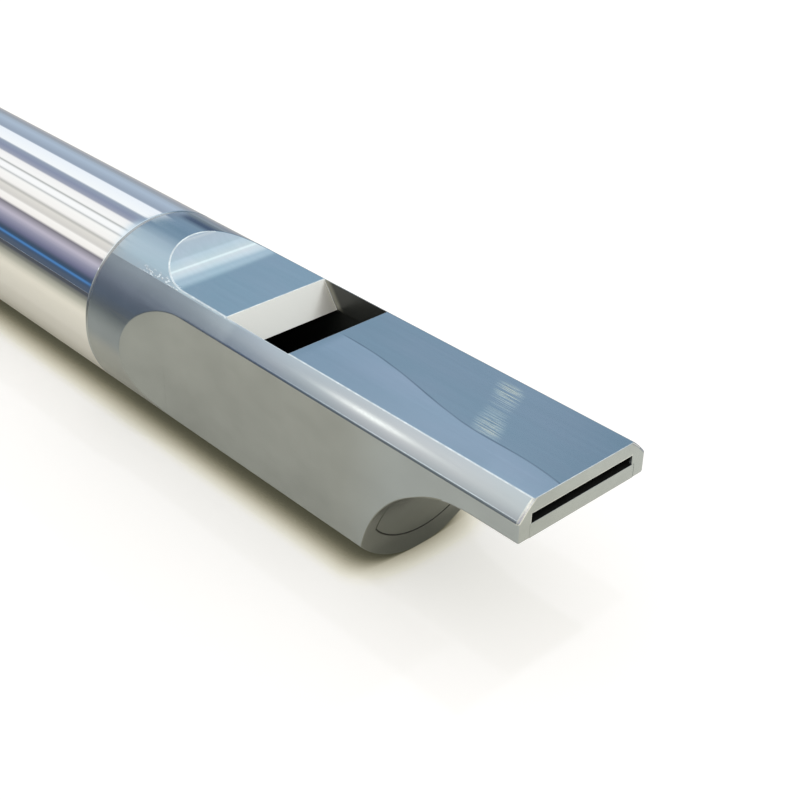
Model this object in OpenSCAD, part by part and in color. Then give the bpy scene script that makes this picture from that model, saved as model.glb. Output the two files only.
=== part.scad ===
// Low whistle: a plain metal tube with six finger holes, and a machined head that slides
// and turns in the tube's socket. The foot's mouth is centred on the origin, +X runs
// along the bore to the tip of the beak, and +Z points up through the finger holes.

/* [Body tube] */
// Length of the body tube, foot to joint
body_l = 508.3; // [480:0.1:540]
// Outside diameter of the tube and the head
outer_d = 25.4; // [24:0.1:28]
// Wall of the tube
tube_wall_t = 1.6; // [1.4:0.05:2]
// Width of the broken edge at the foot
foot_chamfer = 0.4; // [0.1:0.05:0.6]
// Width of the broken edges that meet at the joint
joint_chamfer = 0.15; // [0.05:0.05:0.3]

/* [Finger holes] */
// First hole, nearest the head: distance from the foot
hole_1_x = 297; // [285:0.5:310]
// First hole: diameter
hole_1_d = 9; // [7:0.5:11]
// Second hole: distance from the foot
hole_2_x = 252; // [240:0.5:262]
// Second hole: diameter
hole_2_d = 11.5; // [8:0.5:12.5]
// Third hole: distance from the foot
hole_3_x = 215.5; // [205:0.5:225]
// Third hole: diameter
hole_3_d = 10; // [7:0.5:12]
// Fourth hole: distance from the foot
hole_4_x = 163; // [158:0.5:180]
// Fourth hole: diameter
hole_4_d = 9.5; // [7:0.5:11.5]
// Fifth hole: distance from the foot
hole_5_x = 138.5; // [125:0.5:142]
// Fifth hole: diameter
hole_5_d = 11.5; // [8:0.5:12.5]
// Sixth hole, nearest the foot: distance from the foot
hole_6_x = 89.5; // [80:0.5:100]
// Sixth hole: diameter
hole_6_d = 9; // [7:0.5:11]

/* [Tuning joint] */
// Wall left round the socket in the end of the tube
socket_wall = 1.15; // [0.9:0.05:1.3]
// Length of the tenon on the head
tenon_l = 26; // [24:0.5:32]
// Space left between the tenon's end and the socket's shoulder
tenon_end_gap = 1; // [0.5:0.5:3]
// Clearance all round between the tenon and the socket
joint_clear = 0.05; // [0.02:0.01:0.1]
// Wall of the tenon
tenon_wall = 1.3; // [1.15:0.05:1.7]
// Width of the broken edge at the tenon's end
tenon_chamfer = 0.4; // [0.1:0.05:0.6]
// Depth of each seal groove
groove_depth = 0.75; // [0.6:0.05:0.8]
// Width of each seal groove beyond the seal's own section
groove_side_gap = 0.3; // [0.1:0.05:0.5]
// Clearance all round between a seal, its groove and the socket
seal_clear = 0.01; // [0.01:0.005:0.03]
// Distance from the tenon's end to the inner seal
inner_seal_from_end = 4.5; // [3:0.5:6]
// Distance between the two seals
seal_pitch = 6; // [3:0.5:7]

/* [Head] */
// Length of the head, joint to tip of the beak
head_l = 74.1; // [72:0.1:84]
// Length of the full round bore in the collar, in front of the joint
collar_bore_l = 9.1; // [6:0.1:9.5]
// Width of the top flat, and of the window and the windway that open into it
top_flat_w = 15.4; // [14:0.1:16]
// Width of the head across its side flats
head_w = 19.74; // [19.2:0.02:20.4]
// Distance from the tip to where the top flat starts to rise
top_flat_l = 58.5; // [57:0.1:60]
// Radius of the top flat's run-out
top_runout_r = 14; // [8:0.5:16]
// Distance from the tip to where the side flats start to widen
side_flat_l = 56.6; // [54:0.1:58]
// Radius of the side flats' run-out
side_runout_r = 20; // [12:0.5:22]

/* [Beak] */
// Thickness of the beak
beak_t = 4.66; // [4:0.02:5]
// Radius of the cove under the beak
cove_r = 16.9; // [15:0.1:19]
// Distance from the tip to where the cove starts
cove_start = 6.6; // [4:0.1:9]

/* [Windway and window] */
// Thickness of the windway's roof
roof_t = 1.74; // [1.4:0.02:1.9]
// Height of the windway
windway_h = 1.15; // [0.8:0.05:1.3]
// Length of the windway, tip to window
windway_l = 38.2; // [34:0.1:40]
// Length of the window, windway to blade
window_l = 9.2; // [7:0.1:10]
// Depth of the blade's edge below the top flat
blade_drop = 3.48; // [3.3:0.02:3.7]
// Run of the ramp, top edge to blade
ramp_l = 2.5; // [1.5:0.1:4]

/* [Plug and chamber] */
// Wall between each side flat and the flat side of the plug's channel
side_wall = 1.77; // [1.6:0.01:2]
// Wall under the round bottom of the plug's channel
bottom_wall = 2.6; // [2.3:0.1:3.2]
// Clearance round the plug in its channel, filled by the glue
glue_gap = 0.03; // [0.02:0.01:0.06]
// Width of the broken edge where the plug's floor meets the window
floor_chamfer = 0.4; // [0.1:0.05:0.8]

/* [Hidden] */
$fn = 96;
outer_r = outer_d / 2;
bore_r = outer_r - tube_wall_t;
socket_r = outer_r - socket_wall;
tenon_r = socket_r - joint_clear;
head_bore_r = tenon_r - tenon_wall;
channel_r = outer_r - bottom_wall;
side_flat_y = head_w / 2;
channel_half_w = side_flat_y - side_wall;
top_flat_z = sqrt(outer_r * outer_r - top_flat_w * top_flat_w / 4);
socket_l = tenon_l + tenon_end_gap;
total_l = body_l + head_l;
beak_bottom_z = top_flat_z - beak_t;
windway_top_z = top_flat_z - roof_t;
windway_floor_z = windway_top_z - windway_h;
blade_z = top_flat_z - blade_drop;
blade_from_tip = windway_l + window_l;
round_bore_from_tip = head_l - collar_bore_l;
groove_r = tenon_r - groove_depth;
seal_section = socket_r - groove_r - 2 * seal_clear;
groove_w = seal_section + groove_side_gap;
inner_seal_x = tenon_l - inner_seal_from_end;
outer_seal_x = inner_seal_x - seal_pitch;
// Overshoot of a cutter past the face that it opens
past = 1;
// Height or width that is more than the whole section
clear_of = 2 * outer_d;
// Each hole's distance from the foot and diameter, from the head down
holes = [
    [hole_1_x, hole_1_d],
    [hole_2_x, hole_2_d],
    [hole_3_x, hole_3_d],
    [hole_4_x, hole_4_d],
    [hole_5_x, hole_5_d],
    [hole_6_x, hole_6_d]
];
aluminium_bright = [0.86, 0.87, 0.90];
aluminium_satin = [0.62, 0.70, 0.77];
aluminium_plain = [0.62, 0.64, 0.60];
black_rubber = [0.07, 0.07, 0.07];

// A round bar along X between two places
module bar(x0, x1, r) {
    translate([x0, 0, 0])
        rotate([0, 90, 0])
            cylinder(r = r, h = x1 - x0);
}

// A profile of [radius, place along X] turned about the bore's axis
module turned(profile) {
    rotate([0, 90, 0])
        rotate_extrude()
            polygon(profile);
}

// An outline of [distance from the tip, height] made as wide as w, centred on the axis
module side_view(w) {
    translate([total_l, w / 2, 0])
        rotate([90, 0, 0])
            mirror([1, 0, 0])
                linear_extrude(w)
                    children();
}

// The tube's wall, with the socket for the tenon at its upper end
module tube_wall() {
    socket_start = body_l - socket_l;
    turned([
        [bore_r, 0],
        [outer_r - foot_chamfer, 0],
        [outer_r, foot_chamfer],
        [outer_r, body_l - joint_chamfer],
        [outer_r - joint_chamfer, body_l],
        [socket_r + joint_chamfer, body_l],
        [socket_r, body_l - joint_chamfer],
        [socket_r, socket_start],
        [bore_r, socket_start]
    ]);
}

module finger_hole(x, d) {
    translate([x, 0, 0])
        cylinder(d = d, h = outer_r + past);
}

module body_tube() {
    color(aluminium_bright)
        difference() {
            tube_wall();
            for (h = holes)
                finger_hole(h[0], h[1]);
        }
}

// Bar stock of the head, turned down to the tenon behind the joint
module head_blank() {
    tenon_end = body_l - tenon_l;
    turned([
        [0, tenon_end],
        [tenon_r - tenon_chamfer, tenon_end],
        [tenon_r, tenon_end + tenon_chamfer],
        [tenon_r, body_l],
        [outer_r - joint_chamfer, body_l],
        [outer_r, body_l + joint_chamfer],
        [outer_r, total_l],
        [0, total_l]
    ]);
}

// Groove for a seal, at a distance x behind the joint
module seal_groove(x) {
    middle = body_l - x;
    difference() {
        bar(middle - groove_w / 2, middle + groove_w / 2, outer_r);
        bar(middle - groove_w, middle + groove_w, groove_r);
    }
}

// What the top flat removes: everything above it, ending in a round run-out
module above_top_flat() {
    side_view(clear_of)
        union() {
            translate([-past, top_flat_z])
                square([top_flat_l + past, 2 * top_runout_r]);
            translate([top_flat_l, top_flat_z + top_runout_r])
                circle(r = top_runout_r);
        }
}

// What one side flat removes, on the side given by side = 1 or -1
module beside_side_flat(side) {
    translate([total_l, 0, -clear_of / 2])
        linear_extrude(clear_of)
            mirror([1, 0, 0])
                scale([1, side, 1])
                    union() {
                        translate([-past, side_flat_y])
                            square([side_flat_l + past, 2 * side_runout_r]);
                        translate([side_flat_l, side_flat_y + side_runout_r])
                            circle(r = side_runout_r);
                    }
}

// What is cut away under the beak, from the head and the plug alike
module under_beak() {
    side_view(clear_of)
        union() {
            translate([-past, beak_bottom_z - 2 * cove_r])
                square([cove_start + past, 2 * cove_r]);
            translate([cove_start, beak_bottom_z - cove_r])
                circle(r = cove_r);
        }
}

// Section of the plug's channel up to a height: a round bottom between flat sides
module channel_section(r, half_w, top) {
    intersection() {
        union() {
            circle(r = r);
            translate([-outer_r, 0])
                square([2 * outer_r, top + past]);
        }
        translate([-half_w, -outer_r])
            square([2 * half_w, outer_r + top]);
    }
}

// The section, with its height upward, drawn out from one distance from the tip to another
module channel(from, to, r, half_w, top) {
    translate([total_l - to, 0, 0])
        rotate([90, 0, 90])
            linear_extrude(to - from)
                channel_section(r, half_w, top);
}

// Windway: the slot between the roof and the plug's floor
module windway() {
    translate([total_l - windway_l - past, -top_flat_w / 2, windway_floor_z - past])
        cube([windway_l + 2 * past, top_flat_w, windway_h + past]);
}

// Window: open from the windway's end to the blade, with the ramp behind it
module window() {
    side_view(top_flat_w)
        polygon([
            [windway_l, blade_z - past],
            [windway_l, top_flat_z + past],
            [blade_from_tip + ramp_l * (1 + past / blade_drop), top_flat_z + past],
            [blade_from_tip, blade_z],
            [blade_from_tip, blade_z - past]
        ]);
}

// Chamber behind the blade: its roof climbs from the blade's edge to the round bore
module chamber() {
    intersection() {
        translate([total_l - round_bore_from_tip, 0, 0])
            rotate([90, 0, 90])
                linear_extrude(round_bore_from_tip - blade_from_tip)
                    intersection() {
                        circle(r = channel_r);
                        square([2 * channel_half_w, 2 * outer_r], center = true);
                    }
        side_view(clear_of)
            polygon([
                [blade_from_tip - past, -outer_r],
                [blade_from_tip - past, blade_z],
                [blade_from_tip, blade_z],
                [round_bore_from_tip, channel_r],
                [round_bore_from_tip + past, channel_r],
                [round_bore_from_tip + past, -outer_r]
            ]);
    }
}

module whistle_head() {
    color(aluminium_satin)
        difference() {
            head_blank();
            above_top_flat();
            beside_side_flat(1);
            beside_side_flat(-1);
            under_beak();
            windway();
            window();
            channel(-past, windway_l, channel_r, channel_half_w, windway_floor_z);
            channel(windway_l, blade_from_tip, channel_r, channel_half_w, blade_z);
            chamber();
            bar(body_l - tenon_l - past, total_l - round_bore_from_tip, head_bore_r);
            seal_groove(outer_seal_x);
            seal_groove(inner_seal_x);
        }
}

// The plug fills the channel below the windway, and its top is the windway's floor
module fipple_plug() {
    color(aluminium_plain)
        difference() {
            channel(0, windway_l, channel_r - glue_gap, channel_half_w - glue_gap, windway_floor_z);
            under_beak();
            side_view(clear_of)
                polygon([
                    [windway_l - floor_chamfer, windway_floor_z],
                    [windway_l, windway_floor_z - floor_chamfer],
                    [windway_l + past, windway_floor_z - floor_chamfer],
                    [windway_l + past, windway_floor_z + past],
                    [windway_l - floor_chamfer, windway_floor_z + past]
                ]);
        }
}

// A seal ring lying in its groove, at a distance x behind the joint
module seal_ring(x) {
    translate([body_l - x, 0, 0])
        rotate([0, 90, 0])
            rotate_extrude()
                translate([groove_r + seal_clear + seal_section / 2, 0])
                    circle(d = seal_section, $fn = 32);
}

module outer_seal_ring() {
    color(black_rubber)
        seal_ring(outer_seal_x);
}

module inner_seal_ring() {
    color(black_rubber)
        seal_ring(inner_seal_x);
}

body_tube();
whistle_head();
fipple_plug();
outer_seal_ring();
inner_seal_ring();
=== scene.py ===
import bpy, math
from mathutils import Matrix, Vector


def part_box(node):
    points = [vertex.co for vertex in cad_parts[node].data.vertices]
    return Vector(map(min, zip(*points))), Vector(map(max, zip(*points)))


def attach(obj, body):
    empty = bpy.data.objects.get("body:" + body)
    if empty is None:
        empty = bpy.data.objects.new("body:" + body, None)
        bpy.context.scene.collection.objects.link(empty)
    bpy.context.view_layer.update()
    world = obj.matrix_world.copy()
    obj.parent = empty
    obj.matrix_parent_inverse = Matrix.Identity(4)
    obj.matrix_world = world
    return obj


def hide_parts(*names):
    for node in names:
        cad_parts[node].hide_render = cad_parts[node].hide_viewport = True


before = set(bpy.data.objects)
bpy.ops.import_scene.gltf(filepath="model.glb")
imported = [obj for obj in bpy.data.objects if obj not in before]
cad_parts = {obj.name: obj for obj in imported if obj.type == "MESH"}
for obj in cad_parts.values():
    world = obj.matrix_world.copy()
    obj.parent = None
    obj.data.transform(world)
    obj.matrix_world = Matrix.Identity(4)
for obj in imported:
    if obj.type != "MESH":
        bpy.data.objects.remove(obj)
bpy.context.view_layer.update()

# The room: a pale table, three soft lamps over it and a white surround. The camera looks at
# the mouth end from the player's left front, above the table.
mm = 0.001
_, tube_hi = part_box("body_tube")
head_lo, head_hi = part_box("whistle_head")
outer_r = tube_hi.z
joint_x = tube_hi.x
tip_x = head_hi.x
table_z = -outer_r

camera_data = bpy.data.cameras.new("camera")
camera = bpy.data.objects.new("camera", camera_data)
bpy.context.scene.collection.objects.link(camera)
bpy.context.scene.camera = camera
camera_data.sensor_width = 36
camera_data.lens = 65.2075
camera_data.clip_start = 0.005
camera_from_tip = Vector((74.979, -97.559, 92.902)) * mm
looks_along = Vector((-0.61674, 0.58661, -0.52489))
up_in_view = Vector((-0.39433, 0.34687, 0.85099))
right_in_view = looks_along.cross(up_in_view).normalized()
camera.location = Vector((tip_x, 0, 0)) + camera_from_tip
camera.rotation_mode = "QUATERNION"
turn_rows = (right_in_view, right_in_view.cross(looks_along).normalized(), -looks_along.normalized())
camera_turn = camera.matrix_world.to_3x3()
for i, row in enumerate(turn_rows):
    camera_turn.col[i] = row
camera.rotation_quaternion = camera_turn.to_quaternion()
bpy.context.scene.view_settings.view_transform = "Standard"


def node_in(tree, kind, **settings):
    """Adds a node and sets its properties and, for those that name one, its input sockets."""
    node = tree.nodes.new(kind)
    for key, value in settings.items():
        if key in node.inputs:
            node.inputs[key].default_value = value
        else:
            setattr(node, key, value)
    return node


def split(tree, vector):
    """The three parts of a vector."""
    node = node_in(tree, "ShaderNodeSeparateXYZ")
    tree.links.new(vector, node.inputs[0])
    return tuple(node.outputs)


def reckon(tree, operation, a, b=0.0, c=0.0):
    """A sum on numbers or sockets."""
    node = node_in(tree, "ShaderNodeMath", operation=operation)
    for socket, value in zip(node.inputs, (a, b, c)):
        if isinstance(value, bpy.types.NodeSocket):
            tree.links.new(value, socket)
        else:
            socket.default_value = value
    return node.outputs[0]


def step_up(tree, value, low, high, kind="SMOOTHSTEP"):
    """Rises from 0 to 1 as a value goes from low to high."""
    node = node_in(tree, "ShaderNodeMapRange", interpolation_type=kind)
    node.inputs["From Min"].default_value = low
    node.inputs["From Max"].default_value = high
    tree.links.new(value, node.inputs["Value"])
    return node.outputs[0]


def blended(tree, factor, a, b, kind="MIX"):
    """One colour over another by a factor; each may be a colour or a socket."""
    node = node_in(tree, "ShaderNodeMix", data_type="RGBA", blend_type=kind)
    for socket, value in ((node.inputs["Factor"], factor), (node.inputs["A"], a), (node.inputs["B"], b)):
        if isinstance(value, bpy.types.NodeSocket):
            tree.links.new(value, socket)
        elif isinstance(value, tuple):
            socket.default_value = (*value, 1)
        else:
            socket.default_value = value
    return node.outputs["Result"]


def colour_ramp(tree, value, stops):
    """A ramp with (place, colour) stops, read at a value from 0 to 1."""
    node = node_in(tree, "ShaderNodeValToRGB")
    while len(node.color_ramp.elements) < len(stops):
        node.color_ramp.elements.new(0.5)
    for element, (place, colour) in zip(node.color_ramp.elements, stops):
        element.position = place
        element.color = (*colour, 1)
    tree.links.new(value, node.inputs["Fac"])
    return node.outputs["Color"]


def ring_ramp(tree, turn, stops):
    """A colour ramp over the full turn, with its stops in degrees from -180 to 180."""
    return colour_ramp(tree, turn, [((degrees + 180) / 360, colour) for degrees, colour in stops])


# What polished metal shows, by the angle in degrees about the whistle's length: 0 is the far
# horizon, 90 straight up, 180 the near horizon. Over the tube hang long strip lights.
strips_over_tube = [
    (-6, (0.36, 0.42, 0.50)), (12, (0.44, 0.54, 0.66)), (30, (0.34, 0.41, 0.51)),
    (33, (0.36, 0.43, 0.53)), (35, (0.92, 0.98, 1.04)), (55, (1.0, 1.04, 1.05)),
    (57, (0.34, 0.40, 0.49)), (65, (0.28, 0.32, 0.44)), (72, (0.38, 0.41, 0.50)),
    (74, (0.98, 0.98, 0.97)), (84, (1.04, 1.04, 1.02)), (86, (0.42, 0.44, 0.43)),
    (88, (1.05, 1.06, 1.05)), (95, (1.05, 1.06, 1.05)), (97, (0.55, 0.57, 0.57)),
    (99, (1.04, 1.04, 1.0)), (109, (1.02, 1.0, 0.96)), (112, (0.50, 0.50, 0.47)),
    (115, (0.82, 0.80, 0.74)), (123, (0.72, 0.70, 0.66)), (125, (1.04, 1.02, 0.97)),
    (132, (1.0, 0.97, 0.92)), (135, (0.24, 0.23, 0.26)), (144, (0.56, 0.53, 0.62)),
    (151, (0.33, 0.33, 0.43)), (159, (0.17, 0.18, 0.28)), (164, (0.06, 0.09, 0.14)),
    (167.6, (0.05, 0.10, 0.18)), (168.8, (0.09, 0.25, 0.55)), (170.6, (0.08, 0.22, 0.48)),
    (171.8, (0.06, 0.10, 0.17)), (176, (0.09, 0.12, 0.17)),
]
wall_by_collar = [
    (-17, (0.38, 0.38, 0.40)), (-1, (0.30, 0.34, 0.38)), (5, (0.24, 0.29, 0.34)),
    (12, (0.12, 0.165, 0.25)), (17, (0.11, 0.155, 0.24)), (27, (0.32, 0.445, 0.565)),
    (38, (0.31, 0.445, 0.58)), (48, (0.28, 0.42, 0.54)), (60, (0.34, 0.48, 0.60)),
    (74, (0.60, 0.74, 0.84)), (91, (0.78, 0.92, 1.0)), (107, (0.74, 0.89, 0.96)),
    (123, (0.64, 0.73, 0.79)), (136, (0.36, 0.44, 0.51)), (142, (0.26, 0.33, 0.42)),
    (154, (0.12, 0.17, 0.27)), (170, (0.08, 0.12, 0.21)), (179.9, (0.08, 0.11, 0.17)),
]
wall_by_beak = [
    (-6, (0.24, 0.28, 0.34)), (14, (0.26, 0.37, 0.48)), (30, (0.36, 0.49, 0.62)),
    (43, (0.34, 0.475, 0.60)), (45.5, (0.53, 0.69, 0.81)), (48.5, (0.59, 0.755, 0.875)),
    (90, (0.80, 0.90, 1.0)), (118, (0.98, 0.99, 0.98)), (134, (1.02, 0.965, 0.92)),
    (141, (0.66, 0.65, 0.64)), (143.5, (0.62, 0.62, 0.62)), (144.6, (2.4, 2.4, 2.4)),
    (146, (2.4, 2.4, 2.4)), (147, (0.40, 0.41, 0.41)), (160, (0.27, 0.28, 0.28)),
    (179.9, (0.20, 0.21, 0.22)),
]
# Where the run-out and the small faces look stands a pale screen with a thin lamp. Its colours go
# by the direction's share along the whistle, and these are darkened in bands round the whistle.
screen_past_runout = [
    (-0.47, (1.0, 1.13, 1.19)), (-0.42, (1.12, 1.19, 1.22)), (-0.385, (1.18, 1.26, 1.27)),
    (-0.377, (1.40, 1.52, 1.49)), (-0.352, (1.40, 1.52, 1.49)), (-0.34, (1.06, 1.17, 1.18)),
    (-0.26, (0.98, 1.12, 1.17)), (-0.20, (0.95, 1.10, 1.18)), (-0.165, (0.81, 0.95, 1.02)),
    (-0.05, (0.81, 0.92, 1.01)), (0.06, (0.80, 0.90, 0.98)), (0.14, (1.25, 1.25, 1.2)),
    (0.33, (1.25, 1.25, 1.2)), (1.0, (0.60, 0.64, 0.70)),
]
bands_past_runout = [
    (-180, (0.9, 0.9, 0.9)), (-40, (0.8, 0.8, 0.8)), (-8, (0.55, 0.55, 0.55)),
    (20, (0.5, 0.5, 0.5)), (32, (0.27, 0.35, 0.43)), (44, (0.27, 0.35, 0.43)),
    (49, (0.98, 0.98, 0.98)), (70, (1, 1, 1)), (76, (0.55, 0.55, 0.55)),
    (82, (0.95, 0.95, 0.95)), (104, (1, 0.97, 0.93)), (112, (0.5, 0.48, 0.45)),
    (118, (0.98, 0.92, 0.84)), (134, (0.92, 0.86, 0.79)), (142, (0.42, 0.40, 0.37)),
    (158, (0.5, 0.48, 0.45)), (168, (0.25, 0.25, 0.25)), (179.9, (0.3, 0.3, 0.3)),
]
# Where one goes over into the next, again by the direction's share along the whistle
strips_end_at, collar_starts_at = -0.775, -0.771
collar_ends_at, beak_starts_at = -0.74, -0.60
beak_ends_at, screen_starts_at = -0.56, -0.46
screen_ends_at, far_strips_start_at = 0.35, 0.50

world = bpy.data.worlds.new("studio")
bpy.context.scene.world = world
world.use_nodes = True
sky = world.node_tree
direction = node_in(sky, "ShaderNodeTexCoord").outputs["Generated"]
along, across, up = split(sky, direction)
turn = step_up(sky, reckon(sky, "ARCTAN2", up, across), -math.pi, math.pi, kind="LINEAR")
over_tube = ring_ramp(sky, turn, strips_over_tube)
by_collar = ring_ramp(sky, turn, wall_by_collar)
by_beak = ring_ramp(sky, turn, wall_by_beak)
along_share = step_up(sky, along, -1, 1, kind="LINEAR")
past_runout = colour_ramp(sky, along_share, [((x + 1) / 2, colour) for x, colour in screen_past_runout])
past_runout = blended(sky, 1.0, past_runout, ring_ramp(sky, turn, bands_past_runout), kind="MULTIPLY")
# The ends of the strips lie along the joint as a mirror tube shows it, which bends on the far side
joint_bend = -0.045
bend = reckon(sky, "POWER", reckon(sky, "MAXIMUM", across, 0.0), 2.0)
bent_along = reckon(sky, "MULTIPLY_ADD", bend, joint_bend, along)
in_metal = blended(sky, step_up(sky, bent_along, strips_end_at, collar_starts_at), over_tube, by_collar)
in_metal = blended(sky, step_up(sky, along, collar_ends_at, beak_starts_at), in_metal, by_beak)
in_metal = blended(sky, step_up(sky, along, beak_ends_at, screen_starts_at), in_metal, past_runout)
in_metal = blended(sky, step_up(sky, along, screen_ends_at, far_strips_start_at), in_metal, over_tube)
# A small lamp that the rounded near edge of the beak shows as a streak
spot_way = Vector((-0.624, -0.512, 0.59))
spot_narrowing = (2.2, 1.5, 1.5)
spot_edge, spot_core = 0.075, 0.01
spot_colour = (2.7, 2.57, 2.3)
off_spot = node_in(sky, "ShaderNodeVectorMath", operation="SUBTRACT")
sky.links.new(direction, off_spot.inputs[0])
off_spot.inputs[1].default_value = spot_way
spot_shape = node_in(sky, "ShaderNodeVectorMath", operation="MULTIPLY")
sky.links.new(off_spot.outputs[0], spot_shape.inputs[0])
spot_shape.inputs[1].default_value = spot_narrowing
toward_spot = node_in(sky, "ShaderNodeVectorMath", operation="LENGTH")
sky.links.new(spot_shape.outputs[0], toward_spot.inputs[0])
on_spot = step_up(sky, toward_spot.outputs["Value"], spot_edge, spot_core)
in_metal = blended(sky, on_spot, in_metal, spot_colour)
# Matt surfaces are lit by a warm white surround, polished ones show the room above, and the
# camera sees plain white
surround = (0.88, 0.86, 0.81)
rays = node_in(sky, "ShaderNodeLightPath")
seen = blended(sky, rays.outputs["Is Glossy Ray"], surround, in_metal)
seen = blended(sky, rays.outputs["Is Camera Ray"], seen, (1.0, 1.0, 1.0))
sky.links.new(seen, sky.nodes["Background"].inputs["Color"])

# Each lamp: the way to it from the whistle, and its strength
lamps = [
    (Vector((0.03, -0.05, 1.0)), 0.12),
    (Vector((0.0, 0.34, 0.94)), 0.16),
    (Vector((0.3, 0.69, 0.65)), 0.16),
]
lamp_degrees, lamp_white = 3, (0.94, 0.97, 1.0)
for number, (toward_lamp, strength) in enumerate(lamps):
    lamp_data = bpy.data.lights.new(f"lamp_{number}", "SUN")
    lamp_data.energy = strength
    lamp_data.angle = math.radians(lamp_degrees)
    lamp_data.color = lamp_white
    lamp = bpy.data.objects.new(f"lamp_{number}", lamp_data)
    bpy.context.scene.collection.objects.link(lamp)
    lamp.rotation_mode = "QUATERNION"
    lamp.rotation_quaternion = toward_lamp.to_track_quat("Z", "Y")
    lamp.visible_glossy = False

bpy.ops.object.select_all(action="DESELECT")
bpy.ops.mesh.primitive_plane_add(size=6, location=(tip_x / 2, 0, table_z))
table = bpy.context.object
table.name = "table"
bpy.ops.object.transform_apply(location=True)
table_finish = bpy.data.materials.new("table_finish")
table_finish.use_nodes = True
tree = table_finish.node_tree
shader = tree.nodes["Principled BSDF"]
shader.inputs["Roughness"].default_value = 0.6
shader.inputs["Specular IOR Level"].default_value = 0
shader.inputs["Emission Strength"].default_value = 1
# Painted contact shade: close under the whistle the table's colour and glow are darkened and warmed by its
# occlusion
closeness = node_in(tree, "ShaderNodeAmbientOcclusion", Distance=5 * mm)
under = colour_ramp(tree, closeness.outputs["AO"], [
    (0.27, (0.10, 0.10, 0.07)), (0.35, (0.21, 0.20, 0.145)), (0.43, (0.35, 0.33, 0.25)),
    (0.56, (0.60, 0.57, 0.47)), (0.73, (0.85, 0.83, 0.73)), (0.85, (0.975, 0.965, 0.91)),
    (0.94, (1, 1, 1)),
])
for socket, white in (("Emission Color", (0.455, 0.45, 0.405)), ("Base Color", (0.66, 0.66, 0.72))):
    tree.links.new(blended(tree, 1.0, under, white, kind="MULTIPLY"), shader.inputs[socket])
# The table as the metal shows it, by the distance across in metres
table_reach = 0.3
table_in_metal = [
    (-0.25, (0.09, 0.10, 0.12)), (-0.12, (0.22, 0.23, 0.21)), (-0.065, (0.50, 0.50, 0.43)),
    (-0.04, (0.84, 0.81, 0.71)), (0.014, (0.80, 0.78, 0.70)), (0.034, (0.93, 0.92, 0.86)),
    (0.06, (0.45, 0.47, 0.52)), (0.15, (0.34, 0.38, 0.46)), (0.3, (0.36, 0.42, 0.50)),
]
table_in_metal = [((y + table_reach) / (2 * table_reach), colour) for y, colour in table_in_metal]
_, across, _ = split(tree, node_in(tree, "ShaderNodeTexCoord").outputs["Object"])
across_share = step_up(tree, across, -table_reach, table_reach, kind="LINEAR")
matt = node_in(tree, "ShaderNodeBsdfDiffuse")
tree.links.new(colour_ramp(tree, across_share, table_in_metal), matt.inputs["Color"])
rays = node_in(tree, "ShaderNodeLightPath")
by_ray = node_in(tree, "ShaderNodeMixShader")
tree.links.new(rays.outputs["Is Camera Ray"], by_ray.inputs["Fac"])
tree.links.new(matt.outputs[0], by_ray.inputs[1])
tree.links.new(shader.outputs[0], by_ray.inputs[2])
tree.links.new(by_ray.outputs[0], tree.nodes["Material Output"].inputs["Surface"])
table.data.materials.append(table_finish)


# Body tube: a length of drawn aluminium tube, polished to a mirror. The finger holes are drilled
# and their rims rounded over; the upper end is bored out a little as the socket of the tenon.
bore_r = outer_r - 1.6 * mm
socket_r = outer_r - 1.15 * mm
socket_start = joint_x - 27 * mm
rounded_end = 0.45 * mm
rounded_foot = 0.4 * mm
tube_segments = 256
# Finger holes, as (place along X, width) in mm
finger_holes = [(297, 9), (252, 11.5), (215.5, 10), (163, 9.5), (138.5, 11.5), (89.5, 9)]
hole_rim = 0.35 * mm
beside_hole = 2
socket_break = 0.1 * mm


def quarter_arc(x, r, radius, from_degrees, steps=6):
    """Points of a quarter turn about (x, r), as (place along X, distance from the axis)."""
    angles = [math.radians(from_degrees + 90 * i / steps) for i in range(steps + 1)]
    return [(x + radius * math.cos(a), r + radius * math.sin(a)) for a in angles]


def turned(name, profile, segments, solid):
    """A ring extruded and scaled along a profile of (place along X, distance from the axis)."""
    bpy.ops.object.select_all(action="DESELECT")
    x, r = profile[0]
    fill = "NGON" if solid else "NOTHING"
    bpy.ops.mesh.primitive_circle_add(
        vertices=segments, radius=r, fill_type=fill, location=(x, 0, 0), rotation=(0, math.pi / 2, 0))
    piece = bpy.context.object
    piece.name = piece.data.name = name
    bpy.ops.object.transform_apply(location=True, rotation=True)
    bpy.ops.object.mode_set(mode="EDIT")
    bpy.ops.mesh.select_all(action="SELECT")
    for x_next, r_next in profile[1:]:
        bpy.ops.mesh.extrude_region_move(TRANSFORM_OT_translate={"value": (x_next - x, 0, 0)})
        if r_next != r:
            bpy.ops.transform.resize(value=(1, r_next / r, r_next / r), center_override=(x_next, 0, 0))
        x, r = x_next, r_next
    bpy.ops.mesh.select_all(action="SELECT")
    bpy.ops.mesh.remove_doubles(threshold=0.001 * mm)
    bpy.ops.mesh.normals_make_consistent(inside=False)
    bpy.ops.object.mode_set(mode="OBJECT")
    return piece


def cut(piece, cutter):
    """Takes one solid out of another and deletes the cutter."""
    bpy.ops.object.select_all(action="DESELECT")
    bpy.context.view_layer.objects.active = piece
    piece.select_set(True)
    change = piece.modifiers.new("cut", "BOOLEAN")
    change.operation = "DIFFERENCE"
    change.solver = "EXACT"
    change.object = cutter
    bpy.ops.object.modifier_apply(modifier=change.name)
    bpy.data.objects.remove(cutter)


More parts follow.
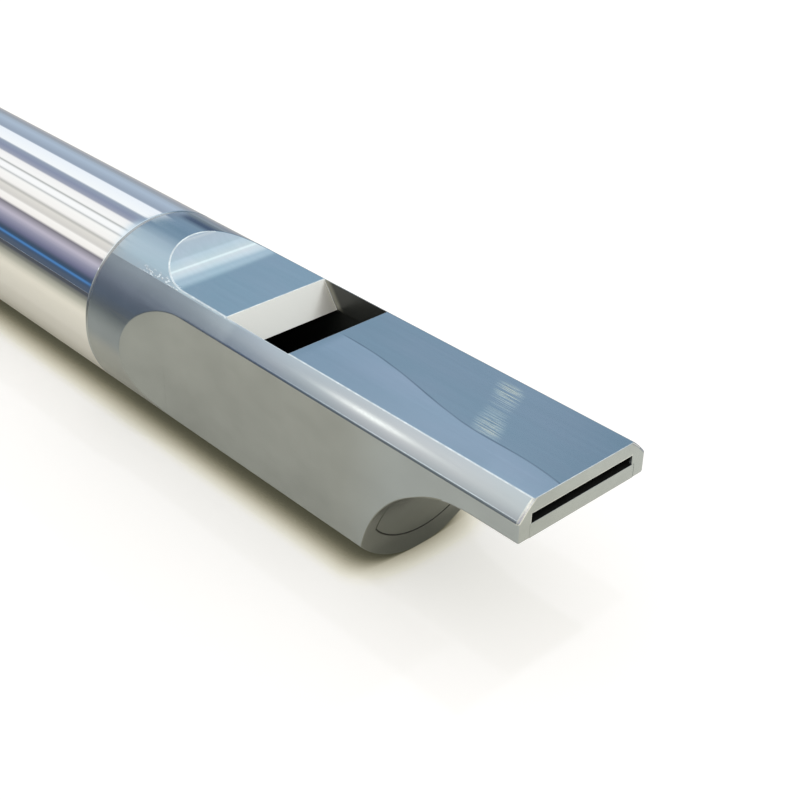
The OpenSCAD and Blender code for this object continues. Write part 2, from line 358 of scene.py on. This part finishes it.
def smooth(piece, degrees):
    """Smooth shading up to an angle, with the flat faces kept flat."""
    bpy.ops.object.select_all(action="DESELECT")
    bpy.context.view_layer.objects.active = piece
    piece.select_set(True)
    bpy.ops.object.shade_smooth_by_angle(angle=math.radians(degrees), keep_sharp_edges=False)
    change = piece.modifiers.new("normals", "WEIGHTED_NORMAL")
    change.keep_sharp = True
    bpy.ops.object.modifier_apply(modifier=change.name)


def hole_cutter(x, radius):
    """A drill for one finger hole: its flare follows the tube, so that it rounds the rim over."""
    steps = 6
    bpy.ops.object.select_all(action="DESELECT")
    bpy.ops.mesh.primitive_circle_add(vertices=96, radius=radius, fill_type="NGON", location=(x, 0, 0))
    drill = bpy.context.object
    bpy.ops.object.transform_apply(location=True)
    bpy.ops.object.mode_set(mode="EDIT")
    bpy.ops.mesh.select_all(action="SELECT")
    widths = [0] + [hole_rim * (1 - math.cos(math.pi / 2 * i / steps)) for i in range(steps + 1)]
    depths = [2 * hole_rim] + [hole_rim * (1 - math.sin(math.pi / 2 * i / steps)) for i in range(steps + 1)]
    before = radius
    for width in widths:
        bpy.ops.mesh.extrude_region_move(TRANSFORM_OT_translate={"value": (0, 0, outer_r)})
        scale = (radius + width) / before
        bpy.ops.transform.resize(value=(scale, scale, 1), center_override=(x, 0, 0))
        before = radius + width
    bpy.ops.mesh.extrude_region_move(TRANSFORM_OT_translate={"value": (0, 0, outer_r)})
    bpy.ops.object.mode_set(mode="OBJECT")
    for v in drill.data.vertices:
        level = round(v.co.z / outer_r)
        tube_z = math.sqrt(outer_r ** 2 - v.co.y ** 2)
        if level == 0:
            v.co.z = 0
        elif level <= len(depths):
            v.co.z = tube_z - depths[level - 1]
        else:
            v.co.z = outer_r + 1 * mm
    return drill


profile = [(socket_start, bore_r), (rounded_foot, bore_r)]
profile += reversed(quarter_arc(rounded_foot, bore_r + rounded_foot, rounded_foot, 180))
profile += reversed(quarter_arc(rounded_foot, outer_r - rounded_foot, rounded_foot, 90))
for x, d in sorted(finger_holes):
    profile += [((x - d / 2 - beside_hole) * mm, outer_r), ((x + d / 2 + beside_hole) * mm, outer_r)]
profile += reversed(quarter_arc(joint_x - rounded_end, outer_r - rounded_end, rounded_end, 0))
profile += [(joint_x, socket_r + socket_break), (joint_x - socket_break, socket_r)]
profile += [(socket_start, socket_r), (socket_start, bore_r)]
tube = turned("tube", profile, tube_segments, solid=False)
for x, d in finger_holes:
    cut(tube, hole_cutter(x * mm, d * mm / 2))
smooth(tube, 30)
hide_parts("body_tube")
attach(tube, "tube")


def metal(name, colour, roughness):
    """A new metal, as its material, node tree, shader and object coordinates."""
    finish = bpy.data.materials.new(name)
    finish.use_nodes = True
    tree = finish.node_tree
    shader = tree.nodes["Principled BSDF"]
    shader.inputs["Metallic"].default_value = 1
    shader.inputs["Base Color"].default_value = (*colour, 1)
    shader.inputs["Roughness"].default_value = roughness
    return finish, tree, shader, node_in(tree, "ShaderNodeTexCoord").outputs["Object"]


def grain(tree, place, stretch, detail=2):
    """Noise stretched by a scale for each axis."""
    mapping = node_in(tree, "ShaderNodeMapping")
    mapping.inputs["Scale"].default_value = stretch
    tree.links.new(place, mapping.inputs["Vector"])
    noise = node_in(tree, "ShaderNodeTexNoise", Scale=1, Detail=detail)
    tree.links.new(mapping.outputs[0], noise.inputs["Vector"])
    return noise.outputs["Fac"]


def spread(tree, value, low, high):
    """Maps noise round its middle to the range from low to high."""
    node = node_in(tree, "ShaderNodeMapRange")
    node.inputs["From Min"].default_value = 0.3
    node.inputs["From Max"].default_value = 0.7
    node.inputs["To Min"].default_value = low
    node.inputs["To Max"].default_value = high
    tree.links.new(value, node.inputs["Value"])
    return node.outputs[0]


def roughened(tree, shader, texture, low, high):
    """Lets the roughness follow a texture, from low to high."""
    tree.links.new(spread(tree, texture, low, high), shader.inputs["Roughness"])


def raised(tree, shader, height, distance):
    """Feeds a height into the shader's normal."""
    bump = node_in(tree, "ShaderNodeBump", Strength=1, Distance=distance)
    tree.links.new(height, bump.inputs["Height"])
    tree.links.new(bump.outputs[0], shader.inputs["Normal"])


tube_polish, tree, shader, place = metal("tube_polish", (0.90, 0.905, 0.92), 0.05)
lines = grain(tree, place, (4, 2600, 2600))
roughened(tree, shader, lines, 0.015, 0.045)
raised(tree, shader, lines, 0.0012 * mm)
tube.data.materials.append(tube_polish)
# Its upper end was rounded over after the polishing
turned_end, tree, shader, place = metal("turned_end", (0.44, 0.47, 0.50), 0.25)
rings = grain(tree, place, (6000, 500, 500))
roughened(tree, shader, rings, 0.235, 0.265)
tube.data.materials.append(turned_end)
for face in tube.data.polygons:
    if face.center.x > joint_x - rounded_end and face.normal.x > 0.3:
        face.material_index = 1


# Seal rings: two rubber rings in the grooves of the tenon. They seal the joint and hold it by friction; on
# the whistle they travel with the head, but here they only get their rubber and are not attached to it.
for ring in ("outer_seal_ring", "inner_seal_ring"):
    rubber = bpy.data.materials.new(ring + "_rubber")
    rubber.use_nodes = True
    tree = rubber.node_tree
    shader = tree.nodes["Principled BSDF"]
    shader.inputs["Base Color"].default_value = (0.025, 0.025, 0.026, 1)
    place = node_in(tree, "ShaderNodeTexCoord").outputs["Object"]
    dust = grain(tree, place, (900, 900, 900), detail=4)
    roughened(tree, shader, dust, 0.45, 0.75)
    raised(tree, shader, dust, 0.004 * mm)
    node_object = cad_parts[ring]
    node_object.data.materials.clear()
    node_object.data.materials.append(rubber)


# Whistle head: one aluminium bar. It is turned, with the tenon and its grooves, then milled: the
# top flat, the side flats and their run-outs, the cove, the windway, the window and the channel.
tenon_x = head_lo.x
tenon_r = socket_r - 0.05 * mm
head_bore_r = tenon_r - 1.3 * mm
groove_r = tenon_r - 0.75 * mm
groove_w = 1.08 * mm
groove_places = [joint_x - 21.5 * mm, joint_x - 15.5 * mm]
top_flat_z = math.sqrt(outer_r ** 2 - (15.4 * mm / 2) ** 2)
side_flat_y = 9.87 * mm
top_flat_l, top_runout = 58.5 * mm, 14 * mm
side_flat_l, side_runout = 56.6 * mm, 20 * mm
beak_z = top_flat_z - 4.66 * mm
cove_start, cove_r = 6.6 * mm, 16.9 * mm
windway_w = 15.4 * mm
windway_top = top_flat_z - 1.74 * mm
windway_floor = windway_top - 1.15 * mm
windway_l = 38.2 * mm
blade_l = windway_l + 9.2 * mm
blade_z = top_flat_z - 3.48 * mm
ramp_run = 2.5 * mm
channel_r, channel_half_w = 10.1 * mm, 8.1 * mm
round_bore_l = 65 * mm
tenon_break, joint_break = 0.4 * mm, 0.12 * mm
past = 1 * mm
head_segments, bore_segments = 80, 192

profile = [(tenon_x, tenon_r - tenon_break), (tenon_x + tenon_break, tenon_r)]
for middle in groove_places:
    profile += [(middle - groove_w / 2, tenon_r), (middle - groove_w / 2, groove_r)]
    profile += [(middle + groove_w / 2, groove_r), (middle + groove_w / 2, tenon_r)]
profile += [(joint_x, tenon_r), (joint_x, outer_r - joint_break)]
profile += [(joint_x + joint_break, outer_r), (tip_x, outer_r)]
head = turned("head", profile, head_segments, solid=True)


def block(x_from_tip, y_range, z_range):
    """A block between two distances from the tip, and between two places in Y and in Z."""
    low = Vector((tip_x - x_from_tip[1], y_range[0], z_range[0]))
    high = Vector((tip_x - x_from_tip[0], y_range[1], z_range[1]))
    bpy.ops.object.select_all(action="DESELECT")
    bpy.ops.mesh.primitive_cube_add(size=1, location=(low + high) / 2)
    piece = bpy.context.object
    piece.scale = high - low
    bpy.ops.object.transform_apply(location=True, scale=True)
    return piece


def round_edge(piece, corner, radius, segments):
    """Rounds the edge of a block that lies at two places, each given as (axis, place)."""
    bpy.context.tool_settings.mesh_select_mode = (False, True, False)
    bpy.ops.object.mode_set(mode="EDIT")
    bpy.ops.mesh.select_all(action="DESELECT")
    bpy.ops.object.mode_set(mode="OBJECT")
    for edge in piece.data.edges:
        ends = [piece.data.vertices[v].co for v in edge.vertices]
        edge.select = all(abs(end[axis] - place) < 1e-6 for end in ends for axis, place in corner)
    bpy.ops.object.mode_set(mode="EDIT")
    bpy.ops.mesh.bevel(offset=radius, segments=segments, affect="EDGES", clamp_overlap=False)
    bpy.ops.object.mode_set(mode="OBJECT")


def rod(x_from_tip, radius, segments):
    """A round bar along X between two distances from the tip."""
    profile = [(tip_x - x_from_tip[1], radius), (tip_x - x_from_tip[0], radius)]
    return turned("rod", profile, segments, solid=True)


def slice_off(piece, point, outward):
    """Cuts a solid along a plane, throws the outward side away and closes the face."""
    bpy.ops.object.select_all(action="DESELECT")
    bpy.context.view_layer.objects.active = piece
    piece.select_set(True)
    bpy.ops.object.mode_set(mode="EDIT")
    bpy.ops.mesh.select_all(action="SELECT")
    bpy.ops.mesh.bisect(plane_co=point, plane_no=outward, use_fill=True, clear_outer=True, threshold=1e-7)
    bpy.ops.object.mode_set(mode="OBJECT")


def channel_bar(x_from_tip, radius, half_w, top):
    """The channel's section drawn out along X: a round bottom between flat sides."""
    bar = rod(x_from_tip, radius, bore_segments)
    slice_off(bar, (0, 0, 0), (0, 0, 1))
    bpy.context.tool_settings.mesh_select_mode = (False, False, True)
    bpy.ops.object.mode_set(mode="EDIT")
    bpy.ops.mesh.select_all(action="DESELECT")
    bpy.ops.object.mode_set(mode="OBJECT")
    for face in bar.data.polygons:
        face.select = face.normal.z > 0.99
    bpy.ops.object.mode_set(mode="EDIT")
    bpy.ops.mesh.extrude_region_move(TRANSFORM_OT_translate={"value": (0, 0, top)})
    bpy.ops.object.mode_set(mode="OBJECT")
    for side in (1, -1):
        slice_off(bar, (0, side * half_w, 0), (0, side, 0))
    return bar


top_l, side_l, cove_l = top_flat_l + top_runout, side_flat_l + side_runout, cove_start + cove_r
wide = 2 * outer_r
above = block((-past, top_l), (-wide, wide), (top_flat_z, top_flat_z + 20 * mm))
round_edge(above, ((0, tip_x - top_l), (2, top_flat_z)), top_runout, 48)
cut(head, above)
for side in (1, -1):
    near, far = sorted((side * side_flat_y, side * (side_flat_y + 25 * mm)))
    beside = block((-past, side_l), (near, far), (-wide, wide))
    round_edge(beside, ((0, tip_x - side_l), (1, side * side_flat_y)), side_runout, 64)
    cut(head, beside)


def cove_cutter():
    """What is milled away under the beak."""
    below = block((-past, cove_l), (-wide, wide), (-wide, beak_z))
    round_edge(below, ((0, tip_x - cove_l), (2, beak_z)), cove_r, 72)
    return below


cut(head, cove_cutter())
half_w = windway_w / 2
cut(head, block((-past, windway_l + past), (-half_w, half_w), (windway_floor - past, windway_top)))
window = block((windway_l, blade_l), (-half_w, half_w), (blade_z, top_flat_z + past))
for v in window.data.vertices:
    if v.co.x < tip_x - blade_l + 1e-6 and v.co.z > top_flat_z:
        v.co.x -= ramp_run * (v.co.z - blade_z) / (top_flat_z - blade_z)
cut(head, window)
cut(head, channel_bar((-past, windway_l), channel_r, channel_half_w, windway_floor))
cut(head, channel_bar((windway_l, blade_l), channel_r, channel_half_w, blade_z))
chamber = rod((blade_l, round_bore_l), channel_r, bore_segments)
for side in (1, -1):
    slice_off(chamber, (0, side * channel_half_w, 0), (0, side, 0))
roof_rise = channel_r - blade_z - 0.05 * mm
roof = Vector((roof_rise, 0, round_bore_l - blade_l))
slice_off(chamber, (tip_x - blade_l, 0, blade_z), roof)
cut(head, chamber)
cut(head, rod((round_bore_l, tip_x - tenon_x + past), head_bore_r, bore_segments))


def broken_edges(piece, widths, segments, edge_slot=-1):
    """Rounds every sharp edge, as wide as widths says for the places of its two ends.

    The new faces get the material slot edge_slot, or else that of their neighbours."""
    bpy.ops.object.select_all(action="DESELECT")
    bpy.context.view_layer.objects.active = piece
    piece.select_set(True)
    bpy.context.tool_settings.mesh_select_mode = (False, True, False)
    bpy.ops.object.mode_set(mode="EDIT")
    bpy.ops.mesh.select_all(action="SELECT")
    bpy.ops.mesh.remove_doubles(threshold=0.02 * mm)
    bpy.ops.mesh.dissolve_degenerate(threshold=0.01 * mm)
    bpy.ops.mesh.select_all(action="DESELECT")
    bpy.ops.mesh.edges_select_sharp(sharpness=math.radians(25))
    bpy.ops.object.mode_set(mode="OBJECT")
    mesh = piece.data
    weight = mesh.attributes.new("bevel_weight_edge", "FLOAT", "EDGE")
    widest = 0.5 * mm
    for edge in mesh.edges:
        if edge.select:
            ends = [mesh.vertices[v].co for v in edge.vertices]
            weight.data[edge.index].value = widths(*ends) / widest
    for _ in range(edge_slot + 1):
        mesh.materials.append(None)
    change = piece.modifiers.new("edges", "BEVEL")
    change.limit_method = "WEIGHT"
    change.width = widest
    change.segments = segments
    change.use_clamp_overlap = False
    change.material = edge_slot
    bpy.ops.object.modifier_apply(modifier=change.name)


# Between these heights the side flats end only at the cove and at the end face
flat_low, flat_high = -7.9 * mm, 7 * mm


def head_edge(a, b):
    """Width of the broken edge between two places on the head."""
    close = 0.01 * mm
    middle = (a + b) / 2
    from_axis = math.hypot(middle.y, middle.z)
    from_tip = tip_x - middle.x
    at_side = abs(abs(middle.y) - side_flat_y) < close
    # The channel stays sharp, since the plug fills it
    in_channel = from_tip < windway_l + past and abs(middle.y) < channel_half_w + close
    if in_channel and middle.z < windway_floor + close:
        return 0
    # The tenon and the bore
    if middle.x < joint_x + close or (from_axis < head_bore_r + close and not at_side):
        return 0.06 * mm
    # The end face: its lower edge, its upper corners and its top
    if from_tip < close:
        if middle.z < beak_z + close:
            return 0.12 * mm
        return (0.34 if abs(middle.y) > windway_w / 2 + close else 0.32) * mm
    # The side flats: along the cove, wider toward the beak, and along their upper edge
    if at_side and from_tip < cove_l and flat_low < middle.z < flat_high:
        return (0.12 + 0.33 * max(0, 1 - (beak_z - middle.z) / (2 * mm))) * mm
    if at_side and middle.z > flat_high:
        return 0.22 * mm
    # The rim of the top's run-out, and all others
    if from_tip > top_flat_l and middle.z > top_flat_z - close:
        return 0.12 * mm
    return 0.11 * mm


head_slot, edge_slot, ramp_slot, bore_slot, cove_slot = range(5)
broken_edges(head, head_edge, 4, edge_slot)
smooth(head, 35)
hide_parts("whistle_head")
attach(head, "head")

satin_grey = (0.40, 0.43, 0.44)
buffed_grey = (0.53, 0.595, 0.635)
end_cut = (1.28, 1.28, 1.26)


def scaled(colour, factor):
    """A colour made lighter or darker."""
    return tuple(factor * c for c in colour)


def satin_sides(tree, place):
    """Colour and height of the satin metal: fine sanding, with a slow drift of tone."""
    cloud = grain(tree, place, (160, 260, 260), detail=3)
    sanding = grain(tree, place, (2400, 5200, 5200), detail=2)
    drift = spread(tree, cloud, 0.0, 1.0)
    tone = blended(tree, drift, scaled(satin_grey, 0.94), scaled(satin_grey, 1.05))
    return tone, sanding


def product(tree, *values):
    """Multiplies numbers or sockets."""
    result = values[0]
    for value in values[1:]:
        result = reckon(tree, "MULTIPLY", result, value)
    return result


def off_axis(tree, y, z):
    """Distance from the whistle's axis."""
    return reckon(tree, "SQRT", reckon(tree, "MULTIPLY_ADD", y, y, product(tree, z, z)))


def tinted(tree, mask, colour, factors):
    """A colour whose channels are multiplied by factors as far as the mask goes."""
    return blended(tree, mask, colour, blended(tree, 1.0, colour, factors, kind="MULTIPLY"))


head_finish, tree, shader, place = metal("head_finish", satin_grey, 0.26)
x, y, z = split(tree, place)
from_tip = reckon(tree, "SUBTRACT", tip_x, x)
satin_tone, sanding = satin_sides(tree, place)
# The buffed top: down to the side flats along the beak, and a narrower crown on the collar
crown_z, beak_edge_z = 9.87 * mm, 7.9 * mm
reaches_down = step_up(tree, x, joint_x + 12 * mm, joint_x + 36 * mm)
on_crown = step_up(tree, z, crown_z - 0.05 * mm, crown_z + 0.05 * mm)
on_rounds = step_up(tree, z, beak_edge_z - 0.2 * mm, beak_edge_z + 0.2 * mm)
end_from, end_to = tip_x - 0.04 * mm, tip_x - 0.02 * mm
off_end = step_up(tree, x, end_to, end_from)
on_end = step_up(tree, x, end_from, end_to)
buffed = reckon(tree, "MAXIMUM", on_crown, product(tree, on_rounds, reaches_down))
buffed = product(tree, buffed, off_end)
streaks = grain(tree, place, (90, 1700, 1700), detail=3)
top_tone = blended(tree, spread(tree, streaks, 0.0, 1.0), scaled(buffed_grey, 0.965), buffed_grey)
haze = grain(tree, place, (70, 240, 240), detail=2)
top_tone = tinted(tree, spread(tree, haze, 0.0, 1.0), top_tone, (1.08, 1.02, 1.03))
# Edge of a painted reflection on the beak's top, as (distance from the tip, place in Y) in mm.
# The near side of it is painted lighter, and a thin dark line is painted along it.
reflection_edge = [
    (0, -3.9), (5, -3.3), (13.3, -3.2), (16.7, -2.8), (20.6, -2.1),
    (24, -1.4), (28, -0.7), (33, -0.15), (40, -0.05),
]
reflection_reach, reflection_low, reflection_high = 40 * mm, -5 * mm, 1 * mm
curve = node_in(tree, "ShaderNodeFloatCurve")
points = curve.mapping.curves[0].points
while len(points) < len(reflection_edge):
    points.new(0.5, 0.5)
for point, (u, edge_y) in zip(points, reflection_edge):
    point.location = (u * mm / reflection_reach, (edge_y * mm - reflection_low) / (reflection_high - reflection_low))
curve.mapping.update()
tree.links.new(reckon(tree, "DIVIDE", from_tip, reflection_reach), curve.inputs["Value"])
edge_place = reckon(tree, "MULTIPLY_ADD", curve.outputs[0], reflection_high - reflection_low, reflection_low)
past_edge = reckon(tree, "SUBTRACT", y, edge_place)
past_window = step_up(tree, x, tip_x - windway_l, tip_x - windway_l + 2 * mm)
on_flat = product(tree, step_up(tree, z, top_flat_z - 0.06 * mm, top_flat_z - 0.02 * mm), past_window)
painted_reflection_side = product(tree, on_flat, step_up(tree, past_edge, 0.1 * mm, -0.1 * mm))
fading = reckon(tree, "MULTIPLY_ADD", step_up(tree, past_edge, -7 * mm, 0.0), 0.6, 0.4)
fading = reckon(tree, "ADD", step_up(tree, from_tip, 9 * mm, 2 * mm), fading)
top_tone = tinted(tree, product(tree, painted_reflection_side, fading), top_tone, (1.30, 1.22, 1.22))
painted_reflection_line = product(
    tree, step_up(tree, reckon(tree, "ABSOLUTE", past_edge), 0.17 * mm, 0.05 * mm),
    spread(tree, grain(tree, place, (110, 10, 10)), 0.15, 0.7), on_flat)
top_tone = blended(tree, painted_reflection_line, top_tone, (0.12, 0.16, 0.20))
# Scratches along the beak on a slanting patch near the tip: bumped in, with a painted glint that lightens
# them to a warm white
patch_from_tip, patch_y, patch_slant = 13 * mm, 1.7 * mm, -0.5
along_patch = reckon(tree, "SUBTRACT", from_tip, patch_from_tip)
along_patch = reckon(tree, "ABSOLUTE", reckon(tree, "MULTIPLY_ADD", y, patch_slant, along_patch))
across_patch = reckon(tree, "ABSOLUTE", reckon(tree, "SUBTRACT", y, patch_y))
ends_of_patch = step_up(tree, across_patch, 0.5 * mm, 3.6 * mm)
patch = product(
    tree, step_up(tree, along_patch, 2.6 * mm, 0.3 * mm), step_up(tree, across_patch, 5.2 * mm, 4.0 * mm),
    reckon(tree, "MULTIPLY_ADD", ends_of_patch, 0.75, 0.25), on_flat)
scratches = grain(tree, place, (220, 7000, 7000), detail=2)
scratches_and_glint = product(tree, patch, step_up(tree, scratches, 0.38, 0.66))
top_tone = blended(tree, scratches_and_glint, top_tone, (0.88, 0.84, 0.70))
# Nicks along the near edge of the top, between the window and the joint, bumped in and painted near white:
# a painted highlight line along the corner, then painted sparkles toward the collar
off_corner = reckon(tree, "ABSOLUTE", reckon(tree, "ADD", y, windway_w / 2))
highlight_line = product(
    tree, step_up(tree, off_corner, 0.22 * mm, 0.07 * mm),
    step_up(tree, from_tip, 48.5 * mm, 50 * mm), step_up(tree, from_tip, 58 * mm, 55.5 * mm),
    step_up(tree, grain(tree, place, (900, 1200, 1200)), 0.40, 0.46))
nick_sparkles = product(
    tree, step_up(tree, off_corner, 0.6 * mm, 0.2 * mm),
    step_up(tree, from_tip, 58.5 * mm, 60 * mm), step_up(tree, from_tip, 69 * mm, 65 * mm),
    step_up(tree, grain(tree, place, (1500, 3200, 3200)), 0.55, 0.59))
nicks_and_sparkle = product(tree, reckon(tree, "MAXIMUM", highlight_line, nick_sparkles), buffed)
top_tone = blended(tree, nicks_and_sparkle, top_tone, (0.95, 0.96, 0.97))
# Behind the window the top is painted lighter, a painted reflection
behind = product(tree, step_up(tree, from_tip, 47 * mm, 49 * mm), step_up(tree, from_tip, 63 * mm, 59 * mm))
top_tone = tinted(tree, behind, top_tone, (1.25, 1.23, 1.19))
# The turned sides of the collar are duller than the milled flats
on_round = step_up(tree, off_axis(tree, y, z), outer_r - 0.08 * mm, outer_r - 0.03 * mm)
on_round = product(tree, on_round, step_up(tree, z, -1.5 * mm, 1 * mm))
satin_tone = tinted(tree, on_round, satin_tone, (0.77, 0.83, 0.93))
# The sides of the beak are a little brighter, and the end face has a brighter cut
by_tip = product(tree, step_up(tree, from_tip, 28 * mm, 16 * mm), off_end)
satin_tone = tinted(tree, by_tip, satin_tone, (1.13, 1.17, 1.25))
satin_tone = tinted(tree, on_end, satin_tone, end_cut)
tree.links.new(blended(tree, buffed, satin_tone, top_tone), shader.inputs["Base Color"])
tree.links.new(reckon(tree, "MULTIPLY_ADD", buffed, 0.2, 0.8), shader.inputs["Metallic"])
# The top is smoother than the sides, and smoothest on the collar and its run-out
on_collar = product(tree, step_up(tree, from_tip, top_flat_l, top_flat_l + 2 * mm), buffed)
on_runout = product(
    tree, step_up(tree, from_tip, top_flat_l, top_flat_l + 0.6 * mm),
    step_up(tree, from_tip, top_flat_l + 7.6 * mm, top_flat_l + 7.3 * mm), buffed)
rough = reckon(tree, "MULTIPLY_ADD", buffed, -0.135, 0.255)
rough = reckon(tree, "MULTIPLY_ADD", on_collar, -0.065, rough)
rough = reckon(tree, "MULTIPLY_ADD", on_runout, -0.01, rough)
rough = reckon(tree, "MULTIPLY_ADD", spread(tree, sanding, -1.0, 1.0), 0.01, rough)
tree.links.new(rough, shader.inputs["Roughness"])
height = product(tree, sanding, 0.0002)
height = reckon(tree, "MULTIPLY_ADD", product(tree, scratches_and_glint, scratches), 0.035, height)
height = reckon(tree, "MULTIPLY_ADD", nicks_and_sparkle, 0.02, height)
raised(tree, shader, height, 1 * mm)
# The edges round the top: worn, and painted lighter than the rest as a painted highlight along them
edge_wear_and_highlight, tree, shader, place = metal("edge_wear_and_highlight", (0.93, 0.93, 0.90), 0.2)
shader.inputs["Metallic"].default_value = 0.8
wear = grain(tree, place, (900, 900, 900), detail=3)
wear_and_highlight_tone = blended(tree, spread(tree, wear, 0.0, 1.0), (0.66, 0.70, 0.72), (0.97, 0.98, 0.97))
tree.links.new(wear_and_highlight_tone, shader.inputs["Base Color"])
roughened(tree, shader, wear, 0.26, 0.10)
# The ramp down to the blade
ramp_finish, tree, shader, place = metal("ramp_finish", (0.93, 0.92, 0.86), 0.3)
shader.inputs["Metallic"].default_value = 0.5
roughened(tree, shader, grain(tree, place, (300, 2400, 2400), detail=3), 0.29, 0.35)
# The bore, the windway and the window's side walls, with painted shade: very dark, near black in the
# windway, and lighter close to the ramp
bore_shade_grey, windway_shade_grey, near_ramp_grey = (0.085, 0.09, 0.085), (0.035, 0.037, 0.035), (0.40, 0.40, 0.34)
hollows_painted_shade, tree, shader, place = metal("hollows_painted_shade", bore_shade_grey, 0.4)
shader.inputs["Metallic"].default_value = 0.6
x, _, z = split(tree, place)
ramp_slant = ramp_run / (top_flat_z - blade_z)
from_ramp = reckon(tree, "SUBTRACT", x, tip_x - blade_l + blade_z * ramp_slant)
from_ramp = reckon(tree, "MULTIPLY_ADD", z, ramp_slant, from_ramp)
near_ramp = product(
    tree, step_up(tree, from_ramp, 1.5 * mm, 0.2 * mm), step_up(tree, from_ramp, -0.8 * mm, -0.4 * mm),
    step_up(tree, z, blade_z - 0.5 * mm, blade_z))
in_windway = step_up(tree, x, tip_x - windway_l, tip_x - windway_l + 0.5 * mm)
painted_shade_tone = blended(tree, in_windway, bore_shade_grey, windway_shade_grey)
tree.links.new(blended(tree, near_ramp, painted_shade_tone, near_ramp_grey), shader.inputs["Base Color"])
roughened(tree, shader, grain(tree, place, (2400, 300, 300), detail=3), 0.32, 0.40)
# The cove, with painted shade: darker all over and darker still low down, and the glue line between the
# head and the plug
cove_seam_and_painted_shade, tree, shader, place = metal("cove_seam_and_painted_shade", (0.31, 0.32, 0.30), 0.28)
_, y, z = split(tree, place)
tone, sanding = satin_sides(tree, place)
tone = blended(tree, 1.0, tone, (0.77, 0.75, 0.69), kind="MULTIPLY")
tone = tinted(tree, step_up(tree, z, -8 * mm, -10.8 * mm), tone, (0.76, 0.76, 0.76))
off_side = reckon(tree, "SUBTRACT", reckon(tree, "ABSOLUTE", y), channel_half_w)
off_bottom = reckon(tree, "SUBTRACT", off_axis(tree, y, z), channel_r)
off_seam = reckon(tree, "ABSOLUTE", reckon(tree, "MAXIMUM", off_side, off_bottom))
on_seam = step_up(tree, off_seam, 0.17 * mm, 0.05 * mm)
tree.links.new(blended(tree, on_seam, tone, (0.08, 0.08, 0.07)), shader.inputs["Base Color"])
roughened(tree, shader, sanding, 0.24, 0.265)
raised(tree, shader, sanding, 0.0002 * mm)
head.data.materials[head_slot] = head_finish
head.data.materials[edge_slot] = edge_wear_and_highlight
for finish in (ramp_finish, hollows_painted_shade, cove_seam_and_painted_shade):
    head.data.materials.append(finish)
# The edges that are worn and painted light for their highlight are those of the top flat, as far as the
# collar and short of the far side, and the upper corners of the end face
bright_edge_l, bright_edge_depth = 72 * mm, 0.25 * mm
bright_edge_y_on_beak, bright_edge_y_on_collar = 7.5 * mm, 3 * mm
corner_l, corner_z = 0.7 * mm, 7.3 * mm
for face in head.data.polygons:
    from_axis = math.hypot(face.center.y, face.center.z)
    u = tip_x - face.center.x
    on_broken_edge = face.material_index == edge_slot
    looks_in = face.center.y * face.normal.y + face.center.z * face.normal.z < -0.2 * from_axis
    in_slot = u < windway_l and windway_floor - 1e-6 < face.center.z < windway_top + 1e-6
    on_top = face.center.z > top_flat_z - bright_edge_depth or (u < corner_l and face.center.z > corner_z)
    bright_edge_y = bright_edge_y_on_collar if u > top_flat_l else bright_edge_y_on_beak
    is_worn_and_highlit = on_broken_edge and on_top and u < bright_edge_l and face.center.y < bright_edge_y
    face.material_index = head_slot
    if is_worn_and_highlit:
        face.material_index = edge_slot
    elif face.normal.x > 0.7 and face.normal.z > 0.4:
        face.material_index = ramp_slot
    elif looks_in and windway_l < u < tip_x - joint_x + 30 * mm:
        face.material_index = bore_slot
    elif in_slot and abs(face.center.y) < windway_w / 2 + 1e-6 and abs(face.normal.x) < 0.5:
        face.material_index = bore_slot
    elif cove_start < u < cove_l + 1e-6 and face.center.z < beak_z and face.normal.x > 0.05:
        face.material_index = cove_slot


# Fipple plug: an aluminium bar with a round bottom, glued in the channel and milled together with
# the beak, so that its seam shows in the cove. Its top is the floor of the windway.
plug_gap = 0.03 * mm
plug = channel_bar((0, windway_l), channel_r - plug_gap, channel_half_w - plug_gap, windway_floor)
plug.name = plug.data.name = "plug"
cut(plug, cove_cutter())


def plug_edge(a, b):
    """Width of the broken edge between two places on the plug: wider in the cove, where it shows."""
    middle = (a + b) / 2
    return 0.09 * mm if tip_x - middle.x > cove_start + 3 * mm and middle.z < beak_z else 0.02 * mm


broken_edges(plug, plug_edge, 2)
smooth(plug, 50)
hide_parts("fipple_plug")
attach(plug, "head")
plug_finish, tree, shader, place = metal("plug_finish", satin_grey, 0.28)
shader.inputs["Metallic"].default_value = 0.8
x, _, _ = split(tree, place)
tone, sanding = satin_sides(tree, place)
on_end = step_up(tree, x, end_from, end_to)
tree.links.new(tinted(tree, on_end, tone, end_cut), shader.inputs["Base Color"])
roughened(tree, shader, sanding, 0.24, 0.265)
raised(tree, shader, sanding, 0.0002 * mm)
in_cove_slot, on_floor_slot = 1, 2
for finish in (plug_finish, cove_seam_and_painted_shade, hollows_painted_shade):
    plug.data.materials.append(finish)
for face in plug.data.polygons:
    if face.normal.x > 0.05 and face.center.z < beak_z and tip_x - face.center.x > cove_start:
        face.material_index = in_cove_slot
    elif face.normal.z > 0.9 and face.center.z > windway_floor - 1e-6:
        face.material_index = on_floor_slot
